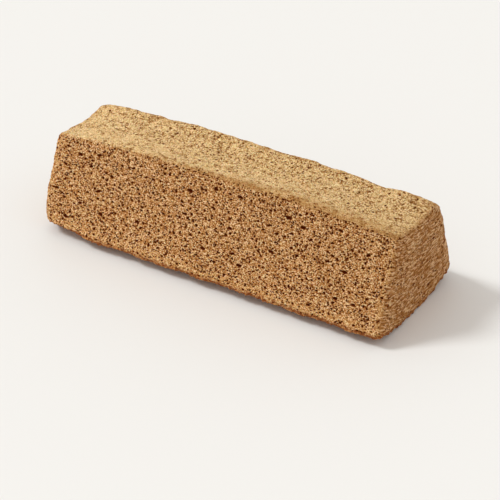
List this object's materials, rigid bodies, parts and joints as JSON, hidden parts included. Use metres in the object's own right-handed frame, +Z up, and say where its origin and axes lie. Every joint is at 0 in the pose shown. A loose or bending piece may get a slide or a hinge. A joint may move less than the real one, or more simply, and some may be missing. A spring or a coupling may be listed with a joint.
{
  "type": "baumkuchen stick",
  "caption": "Lengthwise wedge of plain baumkuchen sponge, lying on its wide rounded outer side.",
  "frame": {"origin": "middle of the flat spot that the stick rests on, below the middle of its bounding box", "axes": "+X along the spit, the stick's length; -Y the front cut face; +Z up, from the outer skin to the spit hole"},
  "size_m": [0.1406, 0.0536, 0.0378],
  "materials": {
    "baked_sponge": "matt, porous baked sponge with a slightly lighter skin"
  },
  "bodies": {
    "root": {"sponge": "baked_sponge"}
  },
  "joints": []
}
